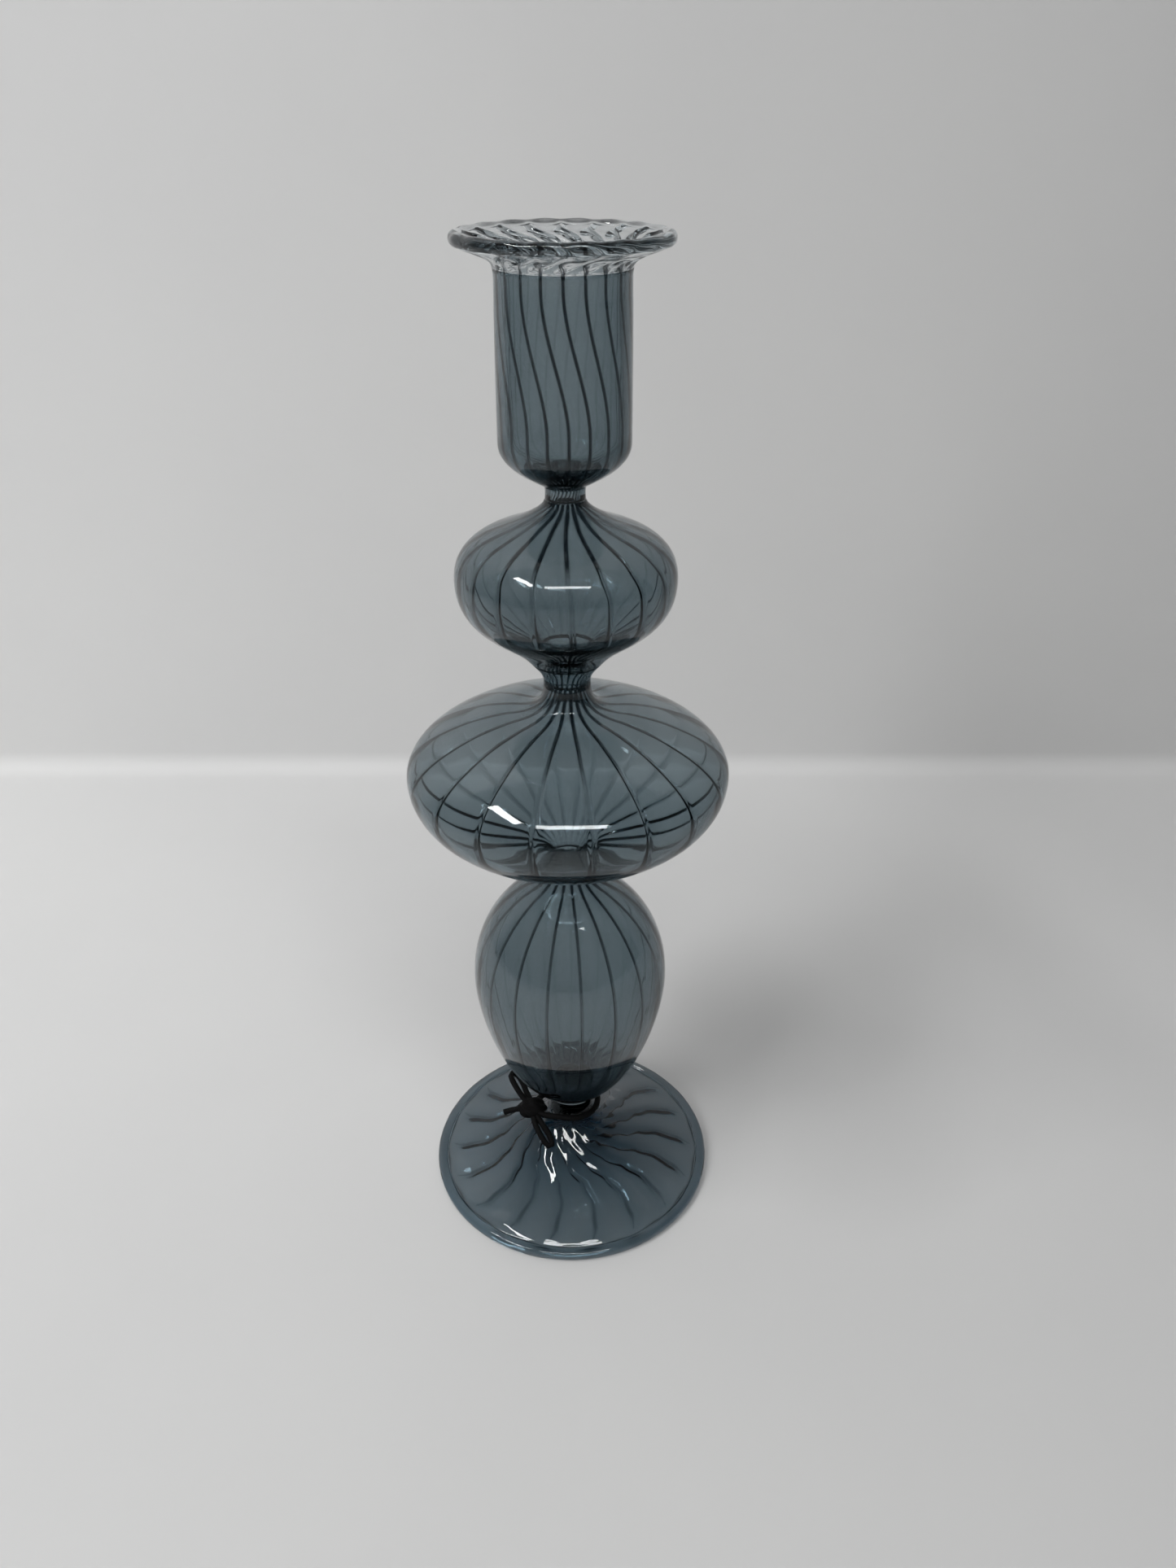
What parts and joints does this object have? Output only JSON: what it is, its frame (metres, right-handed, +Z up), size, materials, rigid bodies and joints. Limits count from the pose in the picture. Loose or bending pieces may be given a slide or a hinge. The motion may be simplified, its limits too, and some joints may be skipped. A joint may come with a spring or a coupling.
{
  "type": "candlestick",
  "caption": "Tall smoky glass candlestick: flared foot, stacked ribbed hollow bulbs, deep candle cup with a turned-out drip rim, and a thin black cord bow above the foot.",
  "frame": {"origin": "centre of the foot on the table plane", "axes": "+Z up along the turning axis, -Y towards the side the cord bow hangs on, +X to the right seen from there"},
  "size_m": [0.0802, 0.0802, 0.254],
  "materials": {
    "smoky_glass_thin": "smooth clear smoky blue-grey glass, thin wall",
    "smoky_glass_blown": "smooth clear smoky blue-grey glass with soft inner ribs",
    "smoky_glass_thick": "smooth clear smoky blue-grey glass, darker where it is solid",
    "black_cord": "matt black braided cord"
  },
  "bodies": {
    "root": {"foot": "smoky_glass_thick", "foot_collar": "smoky_glass_thick", "egg_bulb": "smoky_glass_blown", "lower_neck": "smoky_glass_thick", "wide_bulb": "smoky_glass_blown", "middle_neck": "smoky_glass_thick", "small_bulb": "smoky_glass_blown", "upper_neck": "smoky_glass_thick", "candle_cup": "smoky_glass_thin", "drip_rim": "smoky_glass_thin", "tie_loop": "black_cord", "tie_knot": "black_cord", "tie_bow_upper": "black_cord", "tie_bow_lower": "black_cord", "tie_tail": "black_cord"}
  },
  "joints": []
}
